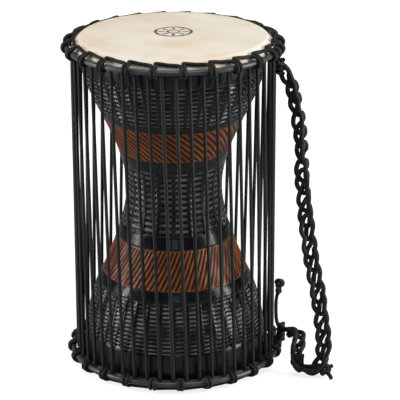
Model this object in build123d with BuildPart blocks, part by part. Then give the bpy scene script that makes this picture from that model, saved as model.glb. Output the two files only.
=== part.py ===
# Talking drum: a carved hourglass shell with a goatskin head on each mouth. The two rims are laced
# together by tension cords that stand clear of the waist, so that squeezing the cords tightens both heads.
# Millimetres. +Z is up, the drum stands on its lower rim at Z = 0, and the strap hangs on the +X side.
# Angles are degrees about Z from +X, and the photographed front is at -90.
import os
from math import acos, asin, atan2, cos, degrees, hypot, pi, radians, sin, tan

from build123d import *

os.makedirs("parts", exist_ok=True)

# Shell
mouth_radius = 100.0
mouth_wall = 8.0
waist_radius = 51.5
waist_wall = 9.5
mouth_round = 2.0

# Carving: columns of notches cut on a flat floor, and bands of slanting ridges. A slant is how many
# ridges round the drum a groove goes from one edge of its band to the other.
notch_depth = 0.8
outer_notch_count = 40
outer_notch_width = 10.5
waist_notch_count = 20
waist_notch_width = 11.5
ridge_depth = 1.3
ridge_inset = 0.15
lower_ridge_count = 89
lower_slant = -3.7
lower_ridge_levels = 2
upper_ridge_count = 56
upper_slant = 5.3
upper_ridge_levels = 3

# Rims: a ring outside each head, a flesh hoop inside the skin's lap, and the rope that ties them. Stands
# are measured outward from the shell's mouth, and lifts out of the mouth from the ring's centre.
hitch_count = 24
ring_stand = 12.0
ring_wire = 5.6
ring_sides = 8
ring_spacing = 341.3
head_lift = 10.35
hoop_stand = 3.6
hoop_lift = 1.5
hoop_wire = 4.0
hoop_sides = 6
skin_thickness = 0.9
lap_corners = 3
lap_end_angle = -90.0
edge_rope = 4.0
rope_sides = 6
crest_stand = 4.6
hitch_spread = 6.0
wrap_corners = 3
bight_angle = -115.0
seat_gap = 0.25
first_hitch_angle = -84.4

# Tension cords
cord_diameter = 3.7
cord_sides = 8
cord_gap = 0.35
lacing_twist = 5.2
squeeze_turn = 8.0

# Strap and the two knots that hold it
strap_width = 12.0
strap_sides = 8
top_knot_angle = -16.9
bottom_knot_angle = -4.2
loop_rope = 1.5
loop_width = 6.0
loop_slack = 1.5
knot_out = 4.6
knot_depth = 10.0
knot_width = 13.0
knot_turn = 5.0
knot_bevel = 1.6
top_knot_turns = 3
bottom_knot_turns = 4

# Sizes that follow from those above
ring_radius = mouth_radius + ring_stand
hoop_radius = mouth_radius + hoop_stand
crest_radius = mouth_radius + crest_stand
bearing_radius = mouth_radius - mouth_round
bearing_lift = head_lift - skin_thickness
rope_radius = edge_rope / 2
rope_reach = rope_radius / cos(radians(180 / rope_sides))
cord_radius = cord_diameter / 2
lap_radius = hoop_wire / 2 + seat_gap + skin_thickness
hitch_step = 360 / hitch_count
cord_line_radius = ring_radius - ring_wire / 2 - cord_gap - cord_radius

# The skin falls from the bearing edge in a straight slope that meets the hoop's lap without a crease, and
# the edge rope rests on that slope.
hoop_run = hoop_radius - bearing_radius
hoop_drop = bearing_lift - hoop_lift
inner_lap_share = (lap_radius - skin_thickness) / hypot(hoop_run, hoop_drop)
slope_angle = degrees(atan2(hoop_drop, hoop_run) - asin(inner_lap_share))
lap_start_angle = degrees(pi / 2) - slope_angle
rope_rest = (skin_thickness + seat_gap + rope_reach) / cos(radians(slope_angle))
rope_line = bearing_lift + rope_rest - (crest_radius - bearing_radius) * tan(radians(slope_angle))

rim_stand = max(head_lift, rope_line + rope_radius)
bottom_ring_z = rim_stand
top_ring_z = rim_stand + ring_spacing
drum_height = top_ring_z + rim_stand
shell_bottom = bottom_ring_z - bearing_lift
shell_top = top_ring_z + bearing_lift
shell_height = shell_top - shell_bottom

# Each rim is drawn on a section plane, X away from the drum's axis and Y out of that mouth, and its
# hitches on a plan whose Z points out of the mouth.
rims = {"top": (top_ring_z, 1), "bottom": (bottom_ring_z, -1)}
sections = {
    name: Plane(origin=(0, 0, ring_z), x_dir=(1, 0, 0), z_dir=(0, -side, 0))
    for name, (ring_z, side) in rims.items()
}
plans = {
    name: Plane(origin=(0, 0, ring_z), x_dir=(1, 0, 0), z_dir=(0, 0, side))
    for name, (ring_z, side) in rims.items()
}


def polar(radius, angle, z):
    return Vector(radius * cos(radians(angle)), radius * sin(radians(angle)), z)


# Shell: turned from one block in straight bands that meet at the edges of its carved rows. Each share pair
# is how far the radius has gone from waist to mouth, and how far up the shell that is. The bore follows
# every second one with its own wall, and the bearing edges are eased.
band_shares = (
    (1.0, 0.0),
    (0.95, 0.104),
    (0.675, 0.248),
    (0.563, 0.28),
    (0.235, 0.391),
    (0.066, 0.469),
    (0.0, 0.545),
    (0.087, 0.623),
    (0.179, 0.663),
    (0.502, 0.763),
    (0.592, 0.788),
    (0.953, 0.914),
    (1.0, 1.0),
)
lower_rows_shares = (0.104, 0.248)
lower_ridges_shares = (0.28, 0.391)
waist_rows_shares = (0.43, 0.623)
upper_ridges_shares = (0.663, 0.763)
upper_rows_shares = (0.788, 0.914)


def profile_points(mouth, waist, shares):
    return [
        (waist + (mouth - waist) * swell_share, shell_bottom + shell_height * rise_share)
        for swell_share, rise_share in shares
    ]


with BuildPart() as shell:
    with BuildSketch(Plane.XZ):
        with BuildLine():
            outside = Polyline(*profile_points(mouth_radius, waist_radius, band_shares))
            inside = Polyline(
                *profile_points(mouth_radius - mouth_wall, waist_radius - waist_wall, band_shares[::2])
            )
            Line(outside @ 0, inside @ 0)
            Line(outside @ 1, inside @ 1)
        make_face()
    revolve(axis=Axis.Z)
    bearing_edges = shell.edges().filter_by(GeomType.CIRCLE).group_by(SortBy.RADIUS)[-1]
    chamfer(bearing_edges, mouth_round)


def outside_at(rise_share):
    """The turned outline's radius and height at a share of the shell's height."""
    height = shell_bottom + shell_height * rise_share
    for (lower_swell, low), (upper_swell, high) in zip(band_shares, band_shares[1:]):
        if low <= rise_share <= high:
            swell = lower_swell + (upper_swell - lower_swell) * (rise_share - low) / (high - low)
            return waist_radius + (mouth_radius - waist_radius) * swell, height


def notch_columns(shares, count, width):
    """What is cut away for one ring of columns, each flat across."""
    first, last = shares
    rises = [first] + [rise for swell, rise in band_shares if first < rise < last] + [last]
    floor_line = [(x - notch_depth, z) for x, z in map(outside_at, rises)]
    clear_line = [(x + mouth_wall, z) for x, z in map(outside_at, reversed(rises))]
    with BuildPart() as column:
        with BuildSketch(Plane.XZ):
            with BuildLine():
                Polyline(*floor_line, *clear_line, close=True)
            make_face()
        extrude(amount=width / 2, both=True)
    with BuildPart() as columns:
        with PolarLocations(0, count, start_angle=180 / count):
            add(column.part)
    return list(columns.part.solids())


def ridge_band(shares, count, slant, levels):
    """What is cut away between and above one band of slanting ridges."""
    first, last = shares
    layers = []
    for level in range(levels + 1):
        climb = level / levels
        radius, height = outside_at(first + (last - first) * climb)
        crest, groove = radius - ridge_inset, radius - ridge_depth
        layers.append(
            [
                polar(crest if i % 2 else groove, (i / 2 - slant * climb) * 360 / count, height)
                for i in range(2 * count)
            ]
        )
    sides = [Face(Wire.make_polygon(layer, close=True)) for layer in (layers[0], layers[-1])]
    for below, above in zip(layers, layers[1:]):
        for i in range(2 * count):
            after = (i + 1) % (2 * count)
            sides.append(Face(Wire.make_polygon([below[i], below[after], above[after]], close=True)))
            sides.append(Face(Wire.make_polygon([below[i], above[after], above[i]], close=True)))
    ridged_core = Solid(Shell(sides))
    band_floor = Plane(origin=(0, 0, layers[0][0].Z))
    band_height = layers[-1][0].Z - layers[0][0].Z
    blank = Solid.make_cylinder(mouth_radius + mouth_wall, band_height, band_floor)
    return blank.cut(ridged_core)


columns = [
    *notch_columns(lower_rows_shares, outer_notch_count, outer_notch_width),
    *notch_columns(waist_rows_shares, waist_notch_count, waist_notch_width),
    *notch_columns(upper_rows_shares, outer_notch_count, outer_notch_width),
]
carved = shell.part.cut(*columns)
carved = carved.cut(ridge_band(lower_ridges_shares, lower_ridge_count, lower_slant, lower_ridge_levels))
carved = carved.cut(ridge_band(upper_ridges_shares, upper_ridge_count, upper_slant, upper_ridge_levels))
carved.label = "shell"
export_step(carved, "parts/shell.step")

# One hitch of the edge rope, at angle zero on a rim's plan. From a crest on the skin's slope the rope runs
# in along the edge, slants down over the lap and passes round the outside of the ring as a bight.
strand_offset = rope_reach + seat_gap / 2
wrap_reach = ring_wire / 2 + seat_gap / 2 + rope_reach
to_crest = Vector(crest_radius - ring_radius, 0, rope_line)
wrap_start = degrees(atan2(to_crest.Z, to_crest.X) - acos(wrap_reach / to_crest.length))
wrap_turn = (wrap_start - bight_angle) / wrap_corners
wrap_corner = wrap_reach / cos(radians(wrap_turn / 2))
wrap_spokes = [(wrap_corner, wrap_start - wrap_turn * (i + 0.5)) for i in range(wrap_corners)]
wrap_spokes.append((wrap_reach, bight_angle))
half_hitch = [
    polar(crest_radius, -hitch_step / 2, rope_line),
    Vector(crest_radius, -hitch_spread, rope_line),
    *[
        Vector(ring_radius + reach * cos(radians(a)), -strand_offset, reach * sin(radians(a)))
        for reach, a in wrap_spokes
    ],
]
crest_run = (half_hitch[0] - half_hitch[1]).normalized() * edge_rope
half_hitch[0] += crest_run
hitch_route = half_hitch + [Vector(p.X, -p.Y, p.Z) for p in reversed(half_hitch)]
with BuildPart() as hitch:
    with BuildLine() as hitch_line:
        strand = Polyline(*hitch_route)
    start_plane = Plane(origin=strand @ 0, x_dir=crest_run.cross(Vector(0, 0, 1)), z_dir=strand % 0)
    with BuildSketch(start_plane):
        RegularPolygon(rope_radius, rope_sides, major_radius=False)
    sweep(path=hitch_line.line, transition=Transition.RIGHT)
    for side in (-1, 1):
        crest_plane = Plane(origin=(0, 0, 0), z_dir=polar(1, side * (hitch_step / 2 + 90), 0))
        split(bisect_by=crest_plane, keep=Keep.BOTTOM)

for name, (ring_z, side) in rims.items():
    with BuildPart() as ring:
        with BuildSketch(sections[name]):
            with Locations((ring_radius, 0)):
                RegularPolygon(ring_wire / 2, ring_sides, rotation=180 / ring_sides)
        revolve(axis=Axis.Z)
    ring.part.label = f"{name}_ring"
    export_step(ring.part, f"parts/{name}_ring.step")

    with BuildPart() as hoop:
        with BuildSketch(sections[name]):
            with Locations((hoop_radius, hoop_lift)):
                RegularPolygon(hoop_wire / 2, hoop_sides)
        revolve(axis=Axis.Z)
    hoop.part.label = f"{name}_flesh_hoop"
    export_step(hoop.part, f"parts/{name}_flesh_hoop.step")

    # The skin runs flat across the mouth, slopes down from the bearing edge and laps round the hoop in
    # creased flats.
    lap_turn = (lap_start_angle - lap_end_angle) / lap_corners

    def skin_line(thickness):
        reach = lap_radius - skin_thickness + thickness
        corner = reach / cos(radians(lap_turn / 2))
        spokes = [(reach, lap_start_angle)]
        spokes += [(corner, lap_start_angle - lap_turn * (i + 0.5)) for i in range(lap_corners)]
        spokes.append((reach, lap_end_angle))
        return [
            (0, bearing_lift + thickness),
            (bearing_radius + thickness * tan(radians(slope_angle / 2)), bearing_lift + thickness),
            *[(hoop_radius + r * cos(radians(a)), hoop_lift + r * sin(radians(a))) for r, a in spokes],
        ]

    with BuildPart() as skin:
        with BuildSketch(sections[name]):
            with BuildLine():
                Polyline(*skin_line(skin_thickness), *reversed(skin_line(0)), close=True)
            make_face()
        revolve(axis=Axis.Z)
    skin.part.label = f"{name}_skin"
    export_step(skin.part, f"parts/{name}_skin.step")

    # The lower hitches stand midway between the cords that come down from two upper ones.
    if side > 0:
        hitch_angle = first_hitch_angle
    else:
        hitch_angle = -(first_hitch_angle + hitch_step / 2 + lacing_twist)
    with BuildPart() as edge_lacing:
        with Locations(plans[name]):
            with PolarLocations(0, hitch_count, start_angle=hitch_angle):
                add(hitch.part)
    edge_lacing.part.label = f"{name}_edge_rope"
    export_step(edge_lacing.part, f"parts/{name}_edge_rope.step")

# Tension cords: two leave each upper hitch, under the lap, and run to two neighbouring lower ones. Each is
# cut at mid height, with a gap that lets the halves fold inwards when the cords are squeezed.
cord_end_lift = hoop_lift - lap_radius - 2 * seat_gap
cord_top = top_ring_z + cord_end_lift
cord_bottom = bottom_ring_z - cord_end_lift
fold_gap = cord_radius * tan(radians(squeeze_turn)) + seat_gap / 5
for number in range(hitch_count):
    hitch_angle = first_hitch_angle + number * hitch_step
    ends = []
    for side in (-1, 1):
        cord_angle = hitch_angle + side * hitch_step / 4
        above = polar(cord_line_radius, cord_angle, cord_top)
        below = polar(cord_line_radius, cord_angle + lacing_twist, cord_bottom)
        ends.append((above, below))
    for half, (first, last) in {"upper": (0, 1), "lower": (1, 0)}.items():
        with BuildPart() as cords:
            for run in ends:
                towards = (run[last] - run[first]).normalized()
                length = (run[last] - run[first]).length / 2 - fold_gap
                with BuildSketch(Plane(origin=run[first], x_dir=run[first].cross(towards), z_dir=towards)):
                    RegularPolygon(cord_radius, cord_sides)
                extrude(amount=length)
        cords.part.label = f"cord_{number + 1:02d}_{half}"
        export_step(cords.part, f"parts/{cords.part.label}.step")

# Knots: a slack loop of two turns hangs on each ring, which can slide a little in it, and turns stacked
# away from the ring, below the top one and above the bottom one, bind the strap's end. Each stack is cut
# square to the strap that meets it.
loop_bore = ring_wire + 2 * seat_gap
first_turn = loop_bore / 2 + loop_slack + loop_rope / 2
with BuildPart() as wrap:
    Box(knot_depth, knot_width, knot_turn, align=(Align.CENTER, Align.CENTER, Align.MIN))
    chamfer(wrap.edges(), knot_bevel)
top_stack = first_turn + top_knot_turns * knot_turn
bottom_stack = first_turn + bottom_knot_turns * knot_turn
knots = {
    "top": (top_knot_angle, top_knot_turns, -1, (knot_out, 0, top_stack - knot_depth / 2), (1, 0, 1)),
    "bottom": (
        bottom_knot_angle,
        bottom_knot_turns,
        1,
        (knot_out, -loop_rope / 2, bottom_stack - knot_turn),
        (1, -1, 0),
    ),
}
strap_exits = {}
for name, (angle, turns, away, exit_place, exit_way) in knots.items():
    ring_seat = polar(ring_radius, angle, rims[name][0])
    outward = polar(1, angle, 0)
    sideways = polar(1, angle + 90, 0)
    stacked = Vector(0, 0, away)

    def on_knot(place):
        return outward * place[0] + sideways * place[1] + stacked * place[2]

    across = Plane(origin=ring_seat + stacked * loop_slack / 2, x_dir=stacked, z_dir=sideways)
    strap_exits[name] = Plane(origin=ring_seat + on_knot(exit_place), z_dir=on_knot(exit_way))
    with BuildPart() as knot:
        with BuildSketch(across):
            SlotCenterToCenter(loop_slack, loop_bore + 2 * loop_rope)
            SlotCenterToCenter(loop_slack, loop_bore, mode=Mode.SUBTRACT)
        extrude(amount=loop_width / 2, both=True)
        with Locations(Plane(origin=ring_seat + outward * knot_out, x_dir=outward, z_dir=stacked)):
            with Locations([(0, 0, first_turn + turn * knot_turn) for turn in range(turns)]):
                add(wrap.part)
        split(bisect_by=strap_exits[name], keep=Keep.BOTTOM)
    knot.part.label = f"strap_{name}_knot"
    export_step(knot.part, f"parts/{knot.part.label}.step")

# Strap: a limp braided rope. It leaves the top knot slanting down and out, hangs beside the cords, turns up
# again in one bend on the floor, and comes back to the bottom knot from the front. X is from the ring.
strap_start = strap_exits["top"].origin
strap_end = strap_exits["bottom"].origin
strap_leads = [knot_exit.origin + knot_exit.z_dir * strap_width for knot_exit in strap_exits.values()]
strap_middle = [
    (12.6, -36.5, 312.8),
    (16.6, -36.7, 294.8),
    (20.6, -38, 271.8),
    (22.6, -41, 243.8),
    (24, -45, 215.8),
    (26.8, -49, 189.8),
    (29.2, -52, 159.8),
    (33.3, -55, 135.8),
    (36.8, -58, 115.8),
    (40.7, -60.4, 96.9),
    (44.3, -63.2, 75.7),
    (47, -66.4, 53.7),
    (48.4, -68.2, 34.4),
    (46.6, -69.9, 19),
    (39.2, -69.4, 8.6),
    (29.5, -67.9, 6.6),
    (21.4, -64.4, 10.5),
    (18.4, -58.2, 18.7),
    (21.2, -48.4, 27.2),
    (23.2, -38.1, 34.2),
    (20, -28.2, 36.4),
]
strap_places = [Vector(ring_radius + x, y, z) for x, y, z in strap_middle]
strap_points = [strap_start, strap_leads[0], *strap_places, strap_leads[1], strap_end]


def limp_radii(points):
    """Each bend's radius, as large as its two runs allow."""
    radii = []
    for before, here, after in zip(points, points[1:], points[2:]):
        shorter_run = min((here - before).length, (after - here).length)
        turn = (here - before).get_angle(after - here)
        radii.append(0.45 * shorter_run / tan(radians(turn / 2)))
    return radii


strap_radii = limp_radii(strap_points)
with BuildPart() as strap:
    with BuildLine() as strap_line:
        FilletPolyline(*strap_points, radius=strap_radii)
    with BuildSketch(Plane(origin=strap_points[0], z_dir=strap_points[1] - strap_points[0])):
        RegularPolygon(strap_width / 2, strap_sides)
    sweep(path=strap_line.line)
strap.part.label = "strap"
export_step(strap.part, "parts/strap.step")

strap_length = strap_line.wires()[0].length
print("height", drum_height, "cord line radius", cord_line_radius)
print("strap radii", [round(r, 1) for r in strap_radii])
print("strap length", round(strap_length, 1), "volume", round(strap.part.volume, 1))
strap_section = strap_sides / 2 * (strap_width / 2) ** 2 * sin(2 * pi / strap_sides)
print("section times length", round(strap_length * strap_section, 1))
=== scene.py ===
"""Looks of the talking drum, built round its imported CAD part. Metres, +Z up, strap on the +X side."""

from math import asin, atan2, cos, hypot, pi, radians, sin, tan, tau

import bmesh
import bpy
import numpy as np
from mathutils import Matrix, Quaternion, Vector


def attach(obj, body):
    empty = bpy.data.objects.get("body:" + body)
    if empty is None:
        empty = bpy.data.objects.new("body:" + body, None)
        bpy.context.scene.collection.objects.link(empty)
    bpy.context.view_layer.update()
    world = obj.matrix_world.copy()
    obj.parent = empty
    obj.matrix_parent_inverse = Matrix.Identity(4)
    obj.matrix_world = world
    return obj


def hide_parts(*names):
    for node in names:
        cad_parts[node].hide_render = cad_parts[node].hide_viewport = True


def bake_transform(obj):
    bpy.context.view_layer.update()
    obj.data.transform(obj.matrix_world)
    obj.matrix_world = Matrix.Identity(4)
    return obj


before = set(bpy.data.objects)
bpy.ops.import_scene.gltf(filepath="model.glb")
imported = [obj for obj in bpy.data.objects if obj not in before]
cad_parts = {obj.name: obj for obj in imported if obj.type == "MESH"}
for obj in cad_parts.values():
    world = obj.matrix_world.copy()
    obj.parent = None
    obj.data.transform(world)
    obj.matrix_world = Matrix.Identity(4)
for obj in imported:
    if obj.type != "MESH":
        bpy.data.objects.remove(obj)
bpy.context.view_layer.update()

# Sizes of the CAD part
HITCHES = 24
HITCH_STEP = tau / HITCHES
FIRST_HITCH = radians(-84.4)
LACING_TWIST = radians(5.2)
RING_RADIUS = 0.112
RING_WIRE = 0.0056
HOOP_RADIUS = 0.1036
HOOP_LIFT = 0.0015
LAP_RADIUS = 0.00315
SKIN_THICKNESS = 0.0009
SKIN_FACE = 0.01035
BEARING = 0.098
CORD = 0.0037
CORD_LINE = 0.107
BOTTOM_RING = 0.01035
TOP_RING = 0.35165
CORD_TOP = 0.3495
CORD_BOTTOM = 0.0125
SHELL_BOTTOM = 0.0009
SHELL_TOP = 0.3611
MOUTH = 0.100
WAIST = 0.0515
MOUTH_WALL = 0.008
WAIST_WALL = 0.0095
MOUTH_ROUND = 0.002
EDGE_ROPE = 0.0039
STRAP_CORD = 0.0052
TOP_KNOT = radians(-16.9)
BOTTOM_KNOT = radians(-4.2)
RIMS = {"top": (TOP_RING, 1), "bottom": (BOTTOM_RING, -1)}


def colour(code):
    """A display colour such as #2c3030 as the linear colour that a shader takes."""
    parts = [int(code[i : i + 2], 16) / 255 for i in (1, 3, 5)]
    linear = [p / 12.92 if p <= 0.04045 else ((p + 0.055) / 1.055) ** 2.4 for p in parts]
    return (*linear, 1.0)


def polar(radius, angle, height):
    return Vector((radius * cos(angle), radius * sin(angle), height))


def node(tree, kind, inputs=None, stops=(), carries=None, **settings):
    """Adds a node with its settings, and fills or links its inputs by name or number."""
    made = tree.nodes.new(kind)
    for setting, value in settings.items():
        setattr(made, setting, value)
    if carries:
        made.capture_items.new("FLOAT", carries)
    for place, (share, shade) in enumerate(stops):
        stop = made.color_ramp.elements[place] if place < 2 else made.color_ramp.elements.new(share)
        stop.position = share
        stop.color = shade
    for key, value in (inputs or {}).items():
        named = [s for s in made.inputs if s.name == key and s.enabled]
        socket = made.inputs[key] if isinstance(key, int) else named[0]
        if isinstance(value, bpy.types.Node):
            value = next(s for s in value.outputs if s.enabled)
        if isinstance(value, bpy.types.NodeSocket):
            tree.links.new(value, socket)
        else:
            socket.default_value = value
    return made


def math_node(tree, operation, *values):
    """A sum, a product or a comparison of one, two or three values."""
    return node(tree, "ShaderNodeMath", dict(enumerate(values)), operation=operation)


def remap(tree, value, start=0.0, end=1.0, low=0.0, high=1.0, **settings):
    """A value's share of the way from start to end, laid between low and high."""
    inputs = {"Value": value, "From Min": start, "From Max": end, "To Min": low, "To Max": high}
    return node(tree, "ShaderNodeMapRange", inputs, **settings)


def noise(tree, place, scale, detail=2.0):
    return node(tree, "ShaderNodeTexNoise", {"Vector": place, "Scale": scale, "Detail": detail})


def round_axis(tree, place):
    """A place's turn about the upright axis, its distance from it, its direction outward, its height."""
    split = node(tree, "ShaderNodeSeparateXYZ", {"Vector": place})
    flat = node(tree, "ShaderNodeCombineXYZ", {"X": split.outputs["X"], "Y": split.outputs["Y"]})
    angle = math_node(tree, "ARCTAN2", split.outputs["Y"], split.outputs["X"])
    reach = node(tree, "ShaderNodeVectorMath", {0: flat}, operation="LENGTH").outputs["Value"]
    outward = node(tree, "ShaderNodeVectorMath", {0: flat}, operation="NORMALIZE")
    return angle, reach, outward, split.outputs["Z"]


def new_object(name, data):
    thing = bpy.data.objects.new(name, data)
    bpy.context.scene.collection.objects.link(thing)
    return thing


# Camera: the photograph's view, fitted to the drum's outline
camera = new_object("camera", bpy.data.cameras.new("camera"))
bpy.context.scene.camera = camera
camera.location = (0.0277, -2.0531, 0.90325)
sight = Vector((0.0277, 0, 0.17625)) - camera.location
camera.rotation_mode = "QUATERNION"
camera.rotation_quaternion = sight.to_track_quat("-Z", "Y") @ Quaternion((0, 0, 1), radians(-0.13))
camera.data.sensor_width = 36
camera.data.lens = 181.3
camera.data.shift_y = 0.0036
camera.data.clip_start = 0.05


# Geometry trees
def open_tree(name, **sockets):
    """A geometry tree with those named inputs, and its input sockets."""
    tree = bpy.data.node_groups.new(name, "GeometryNodeTree")
    tree.interface.new_socket("Geometry", in_out="INPUT", socket_type="NodeSocketGeometry")
    tree.interface.new_socket("Geometry", in_out="OUTPUT", socket_type="NodeSocketGeometry")
    for label, kind in sockets.items():
        tree.interface.new_socket(label, in_out="INPUT", socket_type="NodeSocket" + kind)
    return tree, tree.nodes.new("NodeGroupInput").outputs


def close_tree(tree, geometry, material, selection=True):
    """Ends a tree in smooth faces, with the material on the selected ones."""
    whole = node(tree, "GeometryNodeRealizeInstances", {"Geometry": geometry})
    smooth = node(tree, "GeometryNodeSetShadeSmooth", {"Geometry": whole, "Shade Smooth": True})
    faced = node(
        tree,
        "GeometryNodeSetMaterial",
        {"Geometry": smooth, "Material": material, "Selection": selection},
    )
    node(tree, "NodeGroupOutput", {"Geometry": faced})
    return tree


def rope_tree():
    """A line of points becomes a rope: a smooth tube whose UV map runs round it, and along it in
    metres."""
    tree, given = open_tree("rope", Thickness="Float", Sides="Int", Step="Float", Material="Material")
    line = node(tree, "GeometryNodeMeshToCurve", {"Mesh": given["Geometry"]})
    eased = node(tree, "GeometryNodeCurveSplineType", {"Curve": line}, spline_type="CATMULL_ROM")
    even = node(
        tree, "GeometryNodeResampleCurve", {"Curve": eased, "Length": given["Step"]}, mode="LENGTH"
    )
    place = node(tree, "GeometryNodeSplineParameter")
    strand = node(
        tree,
        "GeometryNodeCaptureAttribute",
        {"Geometry": even, "Along": place.outputs["Length"]},
        carries="Along",
    )
    radius = math_node(tree, "MULTIPLY", given["Thickness"], 0.5)
    circle = node(
        tree, "GeometryNodeCurvePrimitiveCircle", {"Resolution": given["Sides"], "Radius": radius}
    )
    section = node(
        tree,
        "GeometryNodeCaptureAttribute",
        {"Geometry": circle.outputs["Curve"], "Around": place.outputs["Factor"]},
        carries="Around",
    )
    tube = node(
        tree,
        "GeometryNodeCurveToMesh",
        {
            "Curve": strand.outputs["Geometry"],
            "Profile Curve": section.outputs["Geometry"],
            "Fill Caps": True,
        },
    )
    around = section.outputs["Around"]
    # The last face round the tube ends at one whole turn, not back at nought
    middle = node(
        tree, "GeometryNodeFieldOnDomain", {"Value": around}, domain="FACE", data_type="FLOAT"
    )
    lag = math_node(tree, "SUBTRACT", middle, around)
    behind = math_node(tree, "GREATER_THAN", lag, 0.25)
    turn = math_node(tree, "ADD", around, behind)
    spot = node(tree, "ShaderNodeCombineXYZ", {"X": turn, "Y": strand.outputs["Along"]})
    mapped = node(
        tree,
        "GeometryNodeStoreNamedAttribute",
        {"Geometry": tube, "Name": "UVMap", "Value": spot},
        data_type="FLOAT2",
        domain="CORNER",
    )
    return close_tree(tree, mapped, given["Material"])


def hitch_tree():
    """One hitch of the edge rope is set at every place round the rim, and the ends are joined."""
    tree, given = open_tree("hitches", Count="Int", First="Float", Material="Material")
    spots = node(tree, "GeometryNodePoints", {"Count": given["Count"]})
    number = node(tree, "GeometryNodeInputIndex")
    step = math_node(tree, "DIVIDE", tau, given["Count"])
    turned = math_node(tree, "MULTIPLY_ADD", number, step, given["First"])
    facing = node(tree, "ShaderNodeCombineXYZ", {"Z": turned})
    spin = node(tree, "FunctionNodeEulerToRotation", {"Euler": facing})
    copies = node(
        tree,
        "GeometryNodeInstanceOnPoints",
        {"Points": spots, "Instance": given["Geometry"], "Rotation": spin},
    )
    whole = node(tree, "GeometryNodeRealizeInstances", {"Geometry": copies})
    joined = node(tree, "GeometryNodeMergeByDistance", {"Geometry": whole, "Distance": 0.00002})
    return close_tree(tree, joined, given["Material"])


def band_fields(tree, given):
    """Where a point of the shell is: its share of a turn about the axis and of a carved band's height,
    and its direction outward."""
    angle, _, outward, height = round_axis(tree, node(tree, "GeometryNodeInputPosition"))
    turn = math_node(tree, "DIVIDE", angle, tau)
    share = remap(tree, height, given["Lowest"], given["Highest"], clamp=False)
    return turn, share, outward


def cut_band(tree, given, share, outward, cut, highlight_share):
    """Sinks the outside of the shell by the cut's depth within the band, and notes for the wood's colour
    how deep the cut is, for the painted shade in it, and how much painted highlight its edge takes. Also
    returns where the band is."""
    above = math_node(tree, "GREATER_THAN", share, 0.0)
    below = math_node(tree, "LESS_THAN", share, 1.0)
    within = math_node(tree, "MULTIPLY", above, below)
    outer = node(tree, "GeometryNodeInputNamedAttribute", {"Name": "outer"}, data_type="FLOAT")
    here = math_node(tree, "MULTIPLY", within, outer)
    masked = math_node(tree, "MULTIPLY", cut, here)
    kept = given["Geometry"]
    for label, amount in (("carved", masked), ("painted_highlight", math_node(tree, "MULTIPLY", highlight_share, here))):
        earlier = node(tree, "GeometryNodeInputNamedAttribute", {"Name": label}, data_type="FLOAT")
        total = math_node(tree, "ADD", earlier, amount)
        kept = node(
            tree,
            "GeometryNodeStoreNamedAttribute",
            {"Geometry": kept, "Name": label, "Value": total},
            data_type="FLOAT",
            domain="POINT",
        )
    depth = math_node(tree, "MULTIPLY", masked, given["Depth"])
    inward = math_node(tree, "MULTIPLY", depth, -1.0)
    sink = node(tree, "ShaderNodeVectorMath", {0: outward, "Scale": inward}, operation="SCALE")
    moved = node(tree, "GeometryNodeSetPosition", {"Geometry": kept, "Offset": sink})
    return moved, here


def notch_tree():
    """Rows of short level gouges in columns, with plain lands between the columns."""
    tree, given = open_tree(
        "notch_rows",
        Lowest="Float",
        Highest="Float",
        Columns="Float",
        Rows="Float",
        Land="Float",
        Depth="Float",
        Material="Material",
    )
    turn, share, outward = band_fields(tree, given)
    spread = math_node(tree, "MULTIPLY", turn, given["Columns"])
    across = math_node(tree, "PINGPONG", spread, 0.5)
    land_edge = math_node(tree, "MULTIPLY", given["Land"], 0.5)
    # Past the land a gouge takes this share of a column to reach its depth
    bite_run = 0.07
    bite_edge = math_node(tree, "ADD", land_edge, bite_run)
    bite = remap(tree, across, land_edge, bite_edge, interpolation_type="SMOOTHSTEP")
    stacked = math_node(tree, "MULTIPLY", share, given["Rows"])
    row = math_node(tree, "FRACT", stacked)
    # Each gouge slopes in slowly from above and ends in a short ledge below
    deepest = 0.3
    slope = remap(tree, row, 1.0, deepest)
    ledge = remap(tree, row, 0.0, deepest)
    gouge = math_node(tree, "MINIMUM", slope, ledge)
    cut = math_node(tree, "MULTIPLY", gouge, bite)
    # Painted highlight: the lip of each gouge's ledge is lightened where the ledge would catch the light
    lip = remap(tree, gouge, 0.55, 0.1)
    highlight_share = math_node(tree, "MULTIPLY", lip, bite)
    moved, _ = cut_band(tree, given, share, outward, cut, highlight_share)
    return close_tree(tree, moved, given["Material"])


def ridge_tree():
    """Slanting ridges side by side, with narrow grooves between them."""
    tree, given = open_tree(
        "slanting_ridges",
        Lowest="Float",
        Highest="Float",
        Columns="Float",
        Slant="Float",
        Depth="Float",
        Material="Material",
    )
    turn, share, outward = band_fields(tree, given)
    spread = math_node(tree, "MULTIPLY", turn, given["Columns"])
    leaned = math_node(tree, "MULTIPLY_ADD", share, given["Slant"], spread)
    across = math_node(tree, "PINGPONG", leaned, 0.5)
    doubled = math_node(tree, "MULTIPLY", across, 2.0)
    roundness = 0.6
    ridge = math_node(tree, "POWER", doubled, roundness)
    groove = math_node(tree, "SUBTRACT", 1.0, ridge)
    middle = math_node(tree, "PINGPONG", share, 0.5)
    border = remap(tree, middle, 0.015, 0.05)
    cut = math_node(tree, "MULTIPLY", groove, border)
    # Painted highlight on the ridges' crests
    highlight_share = remap(tree, ridge, 0.6, 1.0)
    moved, here = cut_band(tree, given, share, outward, cut, highlight_share)
    stained = math_node(tree, "GREATER_THAN", here, 0.5)
    return close_tree(tree, moved, given["Material"], stained)


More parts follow.
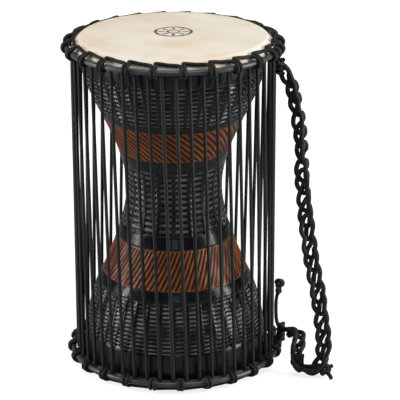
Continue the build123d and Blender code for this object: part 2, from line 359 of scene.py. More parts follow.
def pleat_tree():
    """Small folds where the wet skin was drawn over its hoop."""
    tree, given = open_tree(
        "lap_pleats", Inner="Float", Outer="Float", Count="Float", Depth="Float", Material="Material"
    )
    place = node(tree, "GeometryNodeInputPosition")
    angle, reach, outward, _ = round_axis(tree, place)
    spread = math_node(tree, "MULTIPLY", angle, given["Count"])
    waver = noise(tree, place, 60.0, 1.0)
    drift = 9.0
    drifted = math_node(tree, "MULTIPLY_ADD", waver, drift, spread)
    wave = math_node(tree, "SINE", drifted)
    rise = remap(tree, reach, given["Inner"], given["Outer"], interpolation_type="SMOOTHSTEP")
    height = math_node(tree, "MULTIPLY", wave, rise)
    sized = math_node(tree, "MULTIPLY", height, given["Depth"])
    push = node(tree, "ShaderNodeVectorMath", {0: outward, "Scale": sized}, operation="SCALE")
    moved = node(tree, "GeometryNodeSetPosition", {"Geometry": given["Geometry"], "Offset": push})
    return close_tree(tree, moved, given["Material"])


def line_of(name, *runs, closed=False):
    """An object of one or more lines of points, from which a tree makes a rope."""
    points = [tuple(p) for run in runs for p in run]
    edges = []
    first = 0
    for run in runs:
        edges += [(first + i, first + i + 1) for i in range(len(run) - 1)]
        if closed:
            edges.append((first + len(run) - 1, first))
        first += len(run)
    mesh = bpy.data.meshes.new(name)
    mesh.from_pydata(points, edges, [])
    return new_object(name, mesh)


def shaped(thing, *steps):
    """Runs the trees on a thing in turn, and keeps what they make as its plain mesh."""
    for tree, sizes in steps:
        modifier = thing.modifiers.new(tree.name, "NODES")
        modifier.node_group = tree
        for item in tree.interface.items_tree:
            if item.in_out == "INPUT" and item.name in sizes:
                modifier[item.identifier] = sizes[item.name]
    thing.update_tag()
    ready = thing.evaluated_get(bpy.context.evaluated_depsgraph_get())
    mesh = bpy.data.meshes.new_from_object(ready)
    rough = thing.data
    thing.modifiers.clear()
    thing.data = mesh
    mesh.name = thing.name
    bpy.data.meshes.remove(rough)
    return thing


def roped(name, runs, thickness, material, sides=10, step=0.0012, closed=False, first_steps=()):
    """A rope of that thickness along each run of points."""
    sizes = {"Thickness": thickness, "Sides": sides, "Step": step, "Material": material}
    return shaped(line_of(name, *runs, closed=closed), *first_steps, (ROPE, sizes))


def turned(name, outline, steps, outer_count=0):
    """Turns a closed outline of (radius, height) about the drum's axis. Its first points, outer_count of
    them, are marked as the outside."""
    rings, points = [], []
    for radius, height in outline:
        if radius == 0:
            rings.append([len(points)] * steps)
            points.append((0, 0, height))
        else:
            rings.append(list(range(len(points), len(points) + steps)))
            points += [tuple(polar(radius, tau * i / steps, height)) for i in range(steps)]
    faces = []
    for near, far in zip(rings, rings[1:] + rings[:1]):
        if near[0] == near[1] and far[0] == far[1]:
            continue
        for i in range(steps):
            j = (i + 1) % steps
            corners = dict.fromkeys((near[i], near[j], far[j], far[i]))
            faces.append(tuple(corners))
    mesh = bpy.data.meshes.new(name)
    mesh.from_pydata(points, [], faces)
    outer = mesh.attributes.new("outer", "FLOAT", "POINT")
    outer.data.foreach_set("value", [float(i < outer_count * steps) for i in range(len(points))])
    for label in ("carved", "painted_highlight"):
        blank = mesh.attributes.new(label, "FLOAT", "POINT")
        blank.data.foreach_set("value", [0.0] * len(points))
    work = bmesh.new()
    work.from_mesh(mesh)
    bmesh.ops.recalc_face_normals(work, faces=work.faces)
    work.to_mesh(mesh)
    work.free()
    return new_object(name, mesh)


ROPE = rope_tree()
HITCH = hitch_tree()
NOTCHES = notch_tree()
RIDGES = ridge_tree()
PLEATS = pleat_tree()


# Materials
def new_material(name):
    material = bpy.data.materials.new(name)
    material.use_nodes = True
    tree = material.node_tree
    tree.nodes.clear()
    return material, tree


def ramp(tree, value, *stops):
    """Shades along a value, each given as its place and the code of its colour."""
    shades = [(share, colour(code)) for share, code in stops]
    return node(tree, "ShaderNodeValToRGB", {"Fac": value}, stops=shades)


def mixed(tree, share, first, second, **settings):
    inputs = {"Factor": share, "A": first, "B": second}
    return node(tree, "ShaderNodeMix", inputs, data_type="RGBA", **settings)


def bumped(tree, height, strength, distance):
    return node(
        tree, "ShaderNodeBump", {"Height": height, "Strength": strength, "Distance": distance}
    )


def surface(tree, inputs):
    """The shader that the surface ends in."""
    shader = node(tree, "ShaderNodeBsdfPrincipled", inputs)
    node(tree, "ShaderNodeOutputMaterial", {"Surface": shader})


def braided_cord(name, gap, crown, plaits, pitch, sheen):
    """Polyester cord braided over a core: dull filament yarn, with painted shade between the plaits. A
    real plait is about 1 mm long, too fine to show, so each is drawn as long as the pitch."""
    material, tree = new_material(name)
    spot = node(tree, "ShaderNodeUVMap", uv_map="UVMap")
    split = node(tree, "ShaderNodeSeparateXYZ", {"Vector": spot})
    around = math_node(tree, "MULTIPLY", split.outputs["X"], plaits)
    along = math_node(tree, "DIVIDE", split.outputs["Y"], pitch)
    right = math_node(tree, "ADD", around, along)
    left = math_node(tree, "SUBTRACT", around, along)
    right_wave = math_node(tree, "PINGPONG", right, 0.5)
    left_wave = math_node(tree, "PINGPONG", left, 0.5)
    plait = math_node(tree, "MULTIPLY", right_wave, left_wave)
    place = node(tree, "ShaderNodeTexCoord").outputs["Object"]
    fuzz = noise(tree, place, 260.0, 3.0)
    height = math_node(tree, "MULTIPLY_ADD", fuzz, 0.12, plait)
    # The gap colour is painted shade between the plaits
    shade = ramp(tree, height, (0.05, gap), (0.3, crown))
    dull = remap(tree, fuzz, low=0.5, high=0.75)
    raised = bumped(tree, height, 0.7, 0.0012)
    surface(
        tree,
        {
            "Base Color": shade,
            "Roughness": dull,
            "IOR": 1.57,
            "Specular IOR Level": 0.25,
            "Sheen Weight": sheen,
            "Sheen Roughness": 0.4,
            "Normal": raised,
        },
    )
    return material


def printed_ring(tree, place, wear):
    """How much ink is on the skin: a worn double ring with plain rays in it, on the upper head, a little
    behind its middle."""
    behind, ray_count = 0.0135, 8
    moved = node(tree, "ShaderNodeVectorMath", {0: place, 1: (0.0, -behind, 0.0)}, operation="ADD")
    angle, reach, _, height = round_axis(tree, moved)
    spokes = math_node(tree, "MULTIPLY", angle, ray_count / tau)
    ray = math_node(tree, "PINGPONG", spokes, 0.5)

    def band(value, middle, half):
        return math_node(tree, "COMPARE", value, middle, half)

    outer_ring = band(reach, 0.0190, 0.0017)
    inner_ring = band(reach, 0.0062, 0.0012)
    ray_width = band(ray, 0.0, 0.14)
    ray_reach = band(reach, 0.0125, 0.0035)
    rays = math_node(tree, "MULTIPLY", ray_width, ray_reach)
    rings = math_node(tree, "MAXIMUM", outer_ring, inner_ring)
    shape = math_node(tree, "MAXIMUM", rings, rays)
    upper = math_node(tree, "GREATER_THAN", height, SHELL_TOP)
    there = math_node(tree, "MULTIPLY", shape, upper)
    thin = remap(tree, wear, 0.3, 0.6, low=0.6)
    return math_node(tree, "MULTIPLY", there, thin)


def goatskin_head():
    """Shaved, dried goatskin: cream, matte and slightly uneven, with warmer patches and a fine grain. Tan
    towards the laps' outer edges is painted shade under the edge rope and ring, and the lower lap is
    nearly black towards its edge."""
    material, tree = new_material("dried_goatskin")
    place = node(tree, "ShaderNodeTexCoord").outputs["Object"]
    cloud = noise(tree, place, 22.0, 4.0)
    patch = noise(tree, place, 9.0, 2.0)
    cream = ramp(tree, cloud, (0.3, "#e6dbc9"), (0.5, "#ebe2d2"), (0.7, "#f0eadf"))
    where = remap(tree, patch, 0.48, 0.68, high=0.65, interpolation_type="SMOOTHSTEP")
    warmed = mixed(tree, where, cream, colour("#dfc6a4"))
    _, reach, _, height = round_axis(tree, place)
    # Painted shade: the skin turns tan towards the lap's outer edge, under the edge rope and behind the
    # ring
    lap_edge_shade = remap(tree, reach, 0.106, 0.11, high=0.7, interpolation_type="SMOOTHSTEP")
    lap_shaded = mixed(tree, lap_edge_shade, warmed, colour("#a5814f"))
    # The lower lap is made nearly black towards its edge
    lower = math_node(tree, "LESS_THAN", height, (SHELL_BOTTOM + SHELL_TOP) / 2)
    outer = remap(tree, reach, 0.1, 0.102, high=0.96)
    lower_lap_dark = math_node(tree, "MULTIPLY", lower, outer)
    lapped = mixed(tree, lower_lap_dark, lap_shaded, colour("#1c1915"))
    pores = node(tree, "ShaderNodeTexVoronoi", {"Vector": place, "Scale": 700.0})
    creases = noise(tree, place, 140.0, 5.0)
    grain = math_node(tree, "MULTIPLY_ADD", pores, 0.3, creases)
    matte = remap(tree, creases, low=0.5, high=0.68)
    raised = bumped(tree, grain, 0.25, 0.0006)
    printed = printed_ring(tree, place, creases)
    inked = mixed(tree, printed, lapped, colour("#4a443d"))
    surface(tree, {"Base Color": inked, "Roughness": matte, "IOR": 1.5, "Normal": raised})
    return material


def stained_wood(name, groove, body, pale, highlight_colour, roughness, shine):
    """Carved hardwood under spirit stain, waxed satin: painted shade darkens the cuts and a painted
    highlight lightens their edges, and the pores run up the drum."""
    material, tree = new_material(name)
    place = node(tree, "ShaderNodeTexCoord").outputs["Object"]
    squeezed = node(tree, "ShaderNodeMapping", {"Vector": place, "Scale": (1.0, 1.0, 0.08)})
    pores = noise(tree, squeezed, 500.0, 4.0)
    cloud = noise(tree, place, 45.0, 3.0)
    carved = node(tree, "ShaderNodeAttribute", attribute_name="carved").outputs["Fac"]
    painted_highlight = node(tree, "ShaderNodeAttribute", attribute_name="painted_highlight").outputs["Fac"]
    # Painted shade: the deeper the cut, the darker the colour, down to near black in the grooves
    deep = math_node(tree, "MULTIPLY_ADD", cloud, 0.6, carved)
    stain_and_cut_shade = ramp(tree, deep, (0.22, pale), (0.36, body), (0.85, groove))
    # Painted highlight on the cuts' edges, in patches
    patchy = remap(tree, cloud, 0.35, 0.6)
    highlight_mask = math_node(tree, "MULTIPLY", painted_highlight, patchy)
    highlighted = mixed(tree, highlight_mask, stain_and_cut_shade, colour(highlight_colour))
    streaked = remap(tree, pores, low=0.7, high=1.25)
    toned = mixed(tree, 0.35, highlighted, streaked, blend_type="MULTIPLY")
    satin = remap(tree, pores, low=roughness, high=roughness + 0.2)
    raised = bumped(tree, pores, 0.3, 0.0004)
    surface(
        tree,
        {
            "Base Color": toned,
            "Roughness": satin,
            "IOR": 1.5,
            "Specular IOR Level": shine,
            "Normal": raised,
        },
    )
    return material


def enamelled_steel():
    """Steel rod bent to a ring and dipped in dark grey stove enamel: satin, with a faint orange peel."""
    material, tree = new_material("stove_enamelled_steel")
    place = node(tree, "ShaderNodeTexCoord").outputs["Object"]
    peel = noise(tree, place, 420.0, 2.0)
    rubs = noise(tree, place, 70.0, 4.0)
    shade = ramp(tree, rubs, (0.35, "#2a2e2f"), (0.65, "#424748"))
    satin = remap(tree, rubs, low=0.3, high=0.48)
    raised = bumped(tree, peel, 0.2, 0.0003)
    surface(tree, {"Base Color": shade, "Roughness": satin, "IOR": 1.5, "Normal": raised})
    return material


def bent_cane():
    """Rattan cane bent to a hoop: straw-coloured, with fibres along it."""
    material, tree = new_material("bent_rattan_cane")
    place = node(tree, "ShaderNodeTexCoord").outputs["Object"]
    fibres = noise(tree, place, 300.0, 4.0)
    shade = ramp(tree, fibres, (0.3, "#8a6a41"), (0.7, "#b8935f"))
    matte = remap(tree, fibres, low=0.45, high=0.65)
    raised = bumped(tree, fibres, 0.3, 0.0004)
    surface(tree, {"Base Color": shade, "Roughness": matte, "IOR": 1.5, "Normal": raised})
    return material


GOATSKIN = goatskin_head()
# Each wood's first colour is painted shade for its cuts, and its fourth is a painted highlight for their
# edges
BLACK_WOOD = stained_wood(
    "black_stained_wood", "#040505", "#0c1011", "#131819", "#82878a", 0.16, 0.28
)
RED_WOOD = stained_wood(
    "red_brown_stained_wood", "#0c0603", "#713010", "#914417", "#b4652a", 0.28, 0.28
)
TENSION_CORD = braided_cord("tension_cord_braid", "#0b0e0c", "#2e3330", 8.0, 0.006, 0.1)
EDGE_BRAID = braided_cord("edge_rope_braid", "#070706", "#1e1d1a", 6.0, 0.008, 0.06)
STRAP_BRAID = braided_cord("strap_cord_braid", "#090a0a", "#272929", 8.0, 0.007, 0.08)
STEEL = enamelled_steel()
CANE = bent_cane()


# Strap: its middle line is one smooth spline along the route of the CAD strap
STRAP_ROUTE = [
    (0.111565, -0.033896, 0.33635),
    (0.119684, -0.036362, 0.327865),
    (0.1246, -0.0365, 0.3128),
    (0.1286, -0.0367, 0.2948),
    (0.1326, -0.038, 0.2718),
    (0.1346, -0.041, 0.2438),
    (0.136, -0.045, 0.2158),
    (0.1388, -0.049, 0.1898),
    (0.1412, -0.052, 0.1598),
    (0.1453, -0.055, 0.1358),
    (0.1488, -0.058, 0.1158),
    (0.1527, -0.0604, 0.0969),
    (0.1563, -0.0632, 0.0757),
    (0.159, -0.0664, 0.0537),
    (0.1604, -0.0682, 0.0344),
    (0.1586, -0.0699, 0.019),
    (0.1512, -0.0694, 0.0086),
    (0.1415, -0.0679, 0.0066),
    (0.1334, -0.0644, 0.0105),
    (0.1304, -0.0582, 0.0187),
    (0.1332, -0.0484, 0.0272),
    (0.1352, -0.0381, 0.0342),
    (0.132, -0.0282, 0.0364),
    (0.124073, -0.018372, 0.03065),
    (0.116232, -0.009288, 0.03065),
]


def spline_points(name, route):
    """The points of the smooth line that a limp cord takes along its route."""
    data = bpy.data.curves.new(name, "CURVE")
    data.dimensions = "3D"
    spline = data.splines.new("NURBS")
    spline.points.add(len(route) - 1)
    for point, place in zip(spline.points, route):
        point.co = (*place, 1)
    spline.order_u = 3
    spline.use_endpoint_u = True
    curve = new_object(name, data)
    ready = curve.evaluated_get(bpy.context.evaluated_depsgraph_get())
    mesh = bpy.data.meshes.new_from_object(ready)
    places = [v.co.copy() for v in mesh.vertices]
    bpy.data.objects.remove(curve)
    return places


def along(places, front):
    """Lets a place be given as a distance along a line, one across it and one to its front."""
    line = np.array([tuple(p) for p in places])
    gaps = np.linalg.norm(np.diff(line, axis=0), axis=1)
    reach = np.concatenate([[0], np.cumsum(gaps)])
    fronts = []
    facing = Vector(front)
    for i in range(len(line)):
        ahead = Vector(line[min(i + 1, len(line) - 1)] - line[max(i - 1, 0)]).normalized()
        facing = (facing - ahead * facing.dot(ahead)).normalized()
        fronts.append((ahead, facing.copy()))

    def place(distance, across, out):
        distance = min(max(distance, 0), reach[-1])
        middle = Vector([np.interp(distance, reach, line[:, axis]) for axis in range(3)])
        ahead, facing = fronts[int(np.searchsorted(reach, distance, side="right")) - 1]
        return middle + facing.cross(ahead) * across + facing * out

    return place, reach[-1]


CHAIN_LINKS = 25
CHAIN_SPREAD = 0.0162

# One link of the chained cord, as shares of its pitch along, of its width across and of the cord's
# thickness to the front: out through the link before, round the bight, back, and slanting behind the
# link to the next
CHAIN_LINK = [
    (0.0, -0.12, -0.15),
    (0.35, -0.28, 0.35),
    (0.8, -0.4, 0.4),
    (1.15, -0.32, 0.1),
    (1.42, -0.14, -0.2),
    (1.48, 0.06, -0.35),
    (1.3, 0.22, -0.05),
    (0.95, 0.31, 0.35),
    (0.5, 0.41, 0.45),
    (0.12, 0.3, -0.05),
    (0.2, 0.22, -0.7),
    (0.52, 0.17, -0.85),
    (0.78, -0.02, -0.6),
]
# The last link reaches this share of a pitch past its place
LAST_REACH = 0.6

# How far the chain is turned about its line, in degrees, and its share of its full width, at distances
# along the strap
CHAIN_TURN = [(0, 10), (0.04, 45), (0.1, 55), (0.14, 20), (0.2, -5), (0.31, 10), (0.35, 70), (0.43, 50)]
CHAIN_WIDTH = [(0, 0.8), (0.05, 1), (0.32, 1), (0.345, 0.45), (0.36, 0.8), (0.4, 0.9), (0.43, 0.7)]


def chained(places, links, width, thickness):
    """The line of the cord, link by link, each a little off the even pitch and turn, and none below the
    floor."""
    place, length = along(places, (0, -1, 0))
    pitch = length / (links + LAST_REACH)
    uneven_pitch, uneven_turn = 0.12, 9
    off_floor = 0.0003
    points = []
    for link in range(links):
        for share, across, out in CHAIN_LINK:
            distance = (link + share + uneven_pitch * sin(link * 2.4)) * pitch
            lean = radians(np.interp(distance, *zip(*CHAIN_TURN)) + uneven_turn * sin(link * 1.7))
            spread = np.interp(distance, *zip(*CHAIN_WIDTH)) * width * across
            front = out * thickness
            spot = place(
                distance,
                spread * cos(lean) - front * sin(lean),
                spread * sin(lean) + front * cos(lean),
            )
            spot.z = max(spot.z, thickness / 2 + off_floor)
            points.append(spot)
    return points


strap_line = spline_points("strap_line", STRAP_ROUTE)
strap_strand = chained(strap_line, CHAIN_LINKS, CHAIN_SPREAD, STRAP_CORD)
strap_chain = roped("strap_chain", [strap_strand], STRAP_CORD, STRAP_BRAID, step=0.0011)
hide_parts("strap")


def overhand(middle, size, lean):
    """A loose overhand knot, turned by that much about the upright."""
    count = 40
    points = []
    for i in range(count):
        t = tau * i / count
        reach = 2 + cos(3 * t)
        flat = Vector((reach * cos(2 * t), sin(3 * t), reach * sin(2 * t))) * size
        flat.rotate(Quaternion((0, 0, 1), lean))
        points.append(Vector(middle) + flat)
    return points


# The strap's cord is thinner where it is pulled tight
LOOP_CORD, TIE_KNOT_CORD, TIE_CORD, END_CORD, KNOT_CORD = 0.0030, 0.0036, 0.0040, 0.0044, 0.0046

right_knot = overhand((0.1615, -0.0695, 0.0091), 0.0019, 0.5)
left_knot = overhand((0.1316, -0.0620, 0.0160), 0.0019, -0.4)
floor_knots = roped(
    "strap_floor_knots", [right_knot, left_knot], KNOT_CORD, STRAP_BRAID, closed=True
)
floor_ends = roped(
    "strap_floor_ends",
    [
        [(0.1610, -0.0680, 0.0100), (0.1660, -0.0690, 0.0115), (0.1700, -0.0680, 0.0125)],
        [(0.1620, -0.0700, 0.0060), (0.1660, -0.0750, 0.0050), (0.1680, -0.0800, 0.0030)],
        [(0.1320, -0.0620, 0.0180), (0.1370, -0.0630, 0.0215), (0.1395, -0.0630, 0.0220)],
    ],
    END_CORD,
    STRAP_BRAID,
)
tie_line = [
    (0.1163, -0.0085, 0.0310),
    (0.1125, -0.0082, 0.0370),
    (0.1112, -0.0080, 0.0440),
    (0.1108, -0.0080, 0.0540),
    (0.1110, -0.0080, 0.0640),
    (0.1122, -0.0080, 0.0720),
    (0.1140, -0.0080, 0.0800),
]
tie_end = roped("strap_tie_end", [tie_line], TIE_CORD, STRAP_BRAID)
upper_knot = overhand((0.1143, -0.0080, 0.0842), 0.0015, 0.3)
lower_knot = overhand((0.1135, -0.0080, 0.0758), 0.0013, 1.2)
tie_knot = roped(
    "strap_tie_knot", [upper_knot, lower_knot], TIE_KNOT_CORD, STRAP_BRAID, closed=True
)
strap_pieces = [floor_knots, floor_ends, tie_end, tie_knot]


# Knots: turns of the strap's cord wound under the top ring and over the bottom ring
def knot_turns(angle, ring_z, away, turns):
    """Two loops round the ring, then turns stacked away from it."""
    seat = polar(RING_RADIUS, angle, ring_z)
    outward = polar(1, angle, 0)
    sideways = polar(1, angle + pi / 2, 0)
    stacked = Vector((0, 0, away))
    hang, reach, apart, corners = 0.0008, 0.0044, 0.0018, 12
    loops = []
    for side in (-apart, apart):
        loops.append(
            [
                seat
                + outward * reach * cos(tau * i / corners)
                + stacked * (hang + (reach + hang) * sin(tau * i / corners))
                + sideways * side
                for i in range(corners)
            ]
        )
    middle, half_depth, half_width = 0.0046, 0.0028, 0.0043
    first, pitch, steps = 0.0076, 0.0048, 14
    stack = []
    for i in range(turns * steps + 1):
        t = tau * i / steps
        stack.append(
            seat
            + outward * (middle + half_depth * cos(t))
            + sideways * half_width * sin(t)
            + stacked * (first + pitch * i / steps)
        )
    return loops, stack


for rim, angle, turns in (("top", TOP_KNOT, 3), ("bottom", BOTTOM_KNOT, 4)):
    ring_z, side = RIMS[rim]
    loops, stack = knot_turns(angle, ring_z, -side, turns)
    ring_loops = roped(f"{rim}_ring_loops", loops, LOOP_CORD, STRAP_BRAID, closed=True)
    knot = roped(f"{rim}_knot_turns", [stack], KNOT_CORD, STRAP_BRAID)
    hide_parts(f"strap_{rim}_knot")
    strap_pieces += [ring_loops, knot]

for piece in (strap_chain, *strap_pieces):
    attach(piece, "shell")


# Tension cords: each pair hangs from one hitch above and parts to two hitches below
for number in range(HITCHES):
    hitch = FIRST_HITCH + number * HITCH_STEP
    runs = [
        [
            polar(CORD_LINE, hitch + side * HITCH_STEP / 4, CORD_TOP),
            polar(CORD_LINE, hitch + side * HITCH_STEP / 4 + LACING_TWIST, CORD_BOTTOM),
        ]
        for side in (-1, 1)
    ]
    name = f"cord_{number + 1:02d}"
    pair = roped(f"{name}_pair", runs, CORD, TENSION_CORD, sides=12, step=0.005)
    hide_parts(f"{name}_upper", f"{name}_lower")
    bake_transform(pair)


# Rims: a smooth ring, the skin lapped round its hoop, and the edge rope hitched from ring to skin
def hitch_points():
    """The edge rope from the middle of one span to the middle of the next: along the skin's slope, down
    over the lap, under the ring as a bight, and back up to a crest that it leaves for the next hitch."""
    clearance = 0.0001
    wrap = RING_WIRE / 2 + EDGE_ROPE / 2 + clearance
    arrive, leave = -0.0020, 0.0020

    def at(radius, degrees, out):
        turn = radians(degrees)
        return Vector((radius * cos(turn), radius * sin(turn), out))

    coming = [
        at(0.1057, -7.5, 0.0067),
        at(0.1060, -5.0, 0.0065),
        at(0.1063, -3.2, 0.0063),
        Vector((0.1069, -0.0040, 0.0061)),
        Vector((0.1085, -0.0026, 0.0060)),
        Vector((0.1108, -0.0021, 0.0055)),
    ]
    round_ring = [
        Vector((RING_RADIUS + wrap * cos(radians(a)), arrive, wrap * sin(radians(a))))
        for a in (66, 30, -6, -42, -78, -108)
    ]
    bight = [Vector((RING_RADIUS - 0.0032, 0, -0.0044))]
    back = [Vector((p.x, leave, p.z)) for p in reversed(round_ring)]
    going = [
        Vector((0.1105, 0.0019, 0.0062)),
        Vector((0.1080, 0.0011, 0.0073)),
        Vector((0.1059, 0.0004, 0.0079)),
        Vector((0.1049, 0.0018, 0.0079)),
        at(0.1049, 2.3, 0.0077),
        at(0.1051, 4.2, 0.0074),
        at(0.1054, 6.0, 0.0070),
        at(0.1057, 7.5, 0.0067),
    ]
    return coming + round_ring + bight + back + going


def skin_outline(side):
    """Half of the skin's section: flat across the mouth, down from the bearing edge to the hoop and round
    it, then back inside."""
    ring_z = RIMS["top" if side > 0 else "bottom"][0]
    run = HOOP_RADIUS - BEARING
    drop = SKIN_FACE - SKIN_THICKNESS - HOOP_LIFT
    slope = atan2(drop, run) - asin((LAP_RADIUS - SKIN_THICKNESS) / hypot(run, drop))
    eased, lap_steps = 0.0014, 12

    def face(thickness):
        out = SKIN_FACE - SKIN_THICKNESS + thickness
        corner = BEARING + thickness * tan(slope / 2)
        reach = LAP_RADIUS - SKIN_THICKNESS + thickness
        bend = [
            (
                corner - eased * (1 - t) ** 2 + eased * cos(slope) * t**2,
                out - eased * sin(slope) * t**2,
            )
            for t in (0, 0.25, 0.5, 0.75, 1)
        ]
        lap = [pi / 2 - slope - (pi - slope) * i / lap_steps for i in range(lap_steps + 1)]
        return [
            *[(r, out) for r in (0, 0.02, 0.04, 0.06, 0.08, 0.092)],
            *bend,
            *[(HOOP_RADIUS + reach * cos(a), HOOP_LIFT + reach * sin(a)) for a in lap],
        ]

    return [(r, ring_z + side * w) for r, w in face(SKIN_THICKNESS) + face(0)[::-1]]


ring_steps, skin_steps = 96, 288
for rim, (ring_z, side) in RIMS.items():
    circle = [polar(RING_RADIUS, tau * i / ring_steps, ring_z) for i in range(ring_steps)]
    ring = roped(f"{rim}_ring_rod", [circle], RING_WIRE, STEEL, sides=16, step=0.004, closed=True)
    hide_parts(f"{rim}_ring")
    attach(ring, f"{rim}_rim")

    first = FIRST_HITCH if side > 0 else FIRST_HITCH + HITCH_STEP / 2 + LACING_TWIST
    unit = [Vector((p.x, p.y, ring_z + side * p.z)) for p in hitch_points()]
    laid = (HITCH, {"Count": HITCHES, "First": first, "Material": EDGE_BRAID})
    lacing = roped(
        f"{rim}_edge_lacing", [unit], EDGE_ROPE, EDGE_BRAID, sides=8, step=0.0012, first_steps=[laid]
    )
    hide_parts(f"{rim}_edge_rope")
    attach(lacing, f"{rim}_rim")

    skin = shaped(
        turned(f"{rim}_goatskin", skin_outline(side), skin_steps),
        (
            PLEATS,
            {"Inner": 0.0985, "Outer": 0.1040, "Count": 96.0, "Depth": 0.0003, "Material": GOATSKIN},
        ),
    )
    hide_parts(f"{rim}_skin")
    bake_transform(skin)
    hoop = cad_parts[f"{rim}_flesh_hoop"]
    hoop.data.materials.clear()
    hoop.data.materials.append(CANE)


# Shell: where its carved bands begin and end, as shares of its height
RISES = (0.104, 0.248, 0.28, 0.391, 0.43, 0.623, 0.663, 0.763, 0.788, 0.914)
BANDS = [SHELL_BOTTOM + (SHELL_TOP - SHELL_BOTTOM) * rise for rise in RISES]
# How far the shell swells from its waist's to its mouth's radius, and at which share of its height
SWELL = [
    (1.0, 0.0),
    (0.95, 0.104),
    (0.675, 0.248),
    (0.563, 0.28),
    (0.235, 0.391),
    (0.066, 0.469),
    (0.0, 0.545),
    (0.087, 0.623),
    (0.179, 0.663),
    (0.502, 0.763),
    (0.592, 0.788),
    (0.953, 0.914),
    (1.0, 1.0),
]


def swell_at(height, mouth, waist):
    """The shell's radius at a height, on a smooth line through the turned bands."""
    knots = np.array([SHELL_BOTTOM + (SHELL_TOP - SHELL_BOTTOM) * rise for share, rise in SWELL])
    reach = np.array([waist + (mouth - waist) * share for share, rise in SWELL])
    lean = np.gradient(reach, knots)
    i = int(np.clip(np.searchsorted(knots, height) - 1, 0, len(knots) - 2))
    gap = knots[i + 1] - knots[i]
    t = (height - knots[i]) / gap
    return float(
        (2 * t**3 - 3 * t**2 + 1) * reach[i]
        + (t**3 - 2 * t**2 + t) * gap * lean[i]
        + (3 * t**2 - 2 * t**3) * reach[i + 1]
        + (t**3 - t**2) * gap * lean[i + 1]
    )


def shell_outline():
    """The outside, from the bottom up, with a scribed line at each end of a band, and the bore, back
    down."""
    # The step between two points in each stretch from the foot to the top: fine where cuts are made
    steps = (0.004, 0.00085, 0.003, 0.002, 0.003, 0.00115, 0.003, 0.0012, 0.003, 0.00085, 0.004)
    scribe_depth, scribe_width, scribe_edge = 0.0007, 0.0006, 0.0007
    edges = [SHELL_BOTTOM + MOUTH_ROUND, *BANDS, SHELL_TOP - MOUTH_ROUND]
    heights = []
    for low, high, step in zip(edges, edges[1:], steps):
        count = max(2, round((high - low) / step))
        heights += [low + (high - low) * k / count for k in range(count)]
    heights.append(edges[-1])
    heights += [b + d for b in BANDS for d in (-scribe_edge, scribe_edge)]
    heights = sorted(set(round(h, 6) for h in heights))
    outside = []
    for h in heights:
        scribed = sum(scribe_depth * np.exp(-(((h - b) / scribe_width) ** 2)) for b in BANDS)
        outside.append((swell_at(h, MOUTH, WAIST) - scribed, h))
    lip = MOUTH - MOUTH_ROUND
    outside = [(lip, SHELL_BOTTOM), *outside, (lip, SHELL_TOP)]
    bore_heights = np.linspace(SHELL_TOP, SHELL_BOTTOM, 16)
    bore = [(swell_at(h, MOUTH - MOUTH_WALL, WAIST - WAIST_WALL), float(h)) for h in bore_heights]
    return outside, bore


outside, bore = shell_outline()
shell_steps = 400
notches = {"Land": 0.2, "Depth": 0.0017, "Material": BLACK_WOOD}
ridges = {"Depth": 0.0014, "Material": RED_WOOD}
carved_shell = shaped(
    turned("carved_shell", outside + bore, shell_steps, len(outside)),
    (NOTCHES, notches | {"Lowest": BANDS[0], "Highest": BANDS[1], "Columns": 40.0, "Rows": 12.0}),
    (NOTCHES, notches | {"Lowest": BANDS[4], "Highest": BANDS[5], "Columns": 20.0, "Rows": 11.0}),
    (NOTCHES, notches | {"Lowest": BANDS[8], "Highest": BANDS[9], "Columns": 40.0, "Rows": 9.0}),
    (RIDGES, ridges | {"Lowest": BANDS[2], "Highest": BANDS[3], "Columns": 89.0, "Slant": -3.7}),
    (RIDGES, ridges | {"Lowest": BANDS[6], "Highest": BANDS[7], "Columns": 56.0, "Slant": 5.3}),
)
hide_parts("shell")
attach(carved_shell, "shell")


# Floor, backdrop and light
def looked_at(tree, path):
    """One where the camera looks, straight or through glass."""
    return math_node(
        tree, "MAXIMUM", path.outputs["Is Camera Ray"], path.outputs["Is Transmission Ray"]
    )


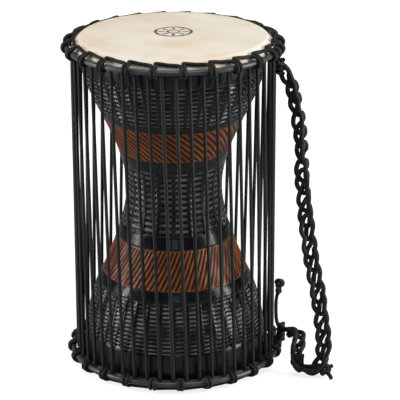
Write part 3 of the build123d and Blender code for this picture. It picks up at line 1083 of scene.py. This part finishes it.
def seen_white():
    """White paper that the camera sees as white, and that still takes the drum's shadow near its foot. It
    glows only a little in reflections."""
    near, near_glow = 0.25, 0.8
    far, far_glow = 0.7, 1.0
    mirrored_glow = 0.15
    material, tree = new_material("white_paper")
    place = node(tree, "ShaderNodeTexCoord").outputs["Object"]
    raised = bumped(tree, noise(tree, place, 300.0), 0.05, 0.0005)
    path = node(tree, "ShaderNodeLightPath")
    away = node(tree, "ShaderNodeVectorMath", {0: place}, operation="LENGTH").outputs["Value"]
    level = remap(tree, away, near, far, near_glow, far_glow, interpolation_type="SMOOTHSTEP")
    direct = math_node(tree, "MULTIPLY", looked_at(tree, path), level)
    mirrored = math_node(tree, "MULTIPLY", path.outputs["Is Glossy Ray"], mirrored_glow)
    glow = math_node(tree, "MAXIMUM", direct, mirrored)
    paper = node(tree, "ShaderNodeBsdfDiffuse", {"Color": colour("#a8a8a8"), "Normal": raised})
    lift = node(tree, "ShaderNodeEmission", {"Color": (1, 1, 1, 1), "Strength": glow})
    both = node(tree, "ShaderNodeAddShader", {0: paper, 1: lift})
    node(tree, "ShaderNodeOutputMaterial", {"Surface": both})
    return material


paper_mesh = bpy.data.meshes.new("paper_floor")
half = 6
corners = [(-half, -half, 0), (half, -half, 0), (half, half, 0), (-half, half, 0)]
paper_mesh.from_pydata(corners, [], [(0, 1, 2, 3)])
paper_mesh.materials.append(seen_white())
paper_floor = new_object("paper_floor", paper_mesh)

world = bpy.data.worlds.new("studio")
bpy.context.scene.world = world
world.use_nodes = True
sky = world.node_tree
sky.nodes.clear()
looked = looked_at(sky, node(sky, "ShaderNodeLightPath"))
level = remap(sky, looked, low=0.05)
backdrop = node(sky, "ShaderNodeBackground", {"Color": (1, 1, 1, 1), "Strength": level})
node(sky, "ShaderNodeOutputWorld", {"Surface": backdrop})


def softbox(name, place, aim, width, height, power):
    """A soft rectangular lamp that faces the place aimed at."""
    light = bpy.data.lights.new(name, "AREA")
    light.shape = "RECTANGLE"
    light.size = width
    light.size_y = height
    light.energy = power
    thing = new_object(name, light)
    thing.location = place
    thing.rotation_mode = "QUATERNION"
    thing.rotation_quaternion = (Vector(aim) - Vector(place)).to_track_quat("-Z", "Y")


softbox("head_light", (0.1, -0.3, 1.5), (0, 0, 0.36), 0.8, 0.8, 10.5)
softbox("left_strip", (-1.25, -0.2, 0.45), (0, 0, 0.18), 0.2, 1.3, 18)
softbox("right_strip", (1.25, -0.25, 0.45), (0, 0, 0.18), 0.22, 1.3, 21)
softbox("front_strip", (0.1, -2.4, 1.0), (0, 0, 0.18), 0.2, 1.2, 3)

bpy.context.scene.view_settings.view_transform = "Standard"
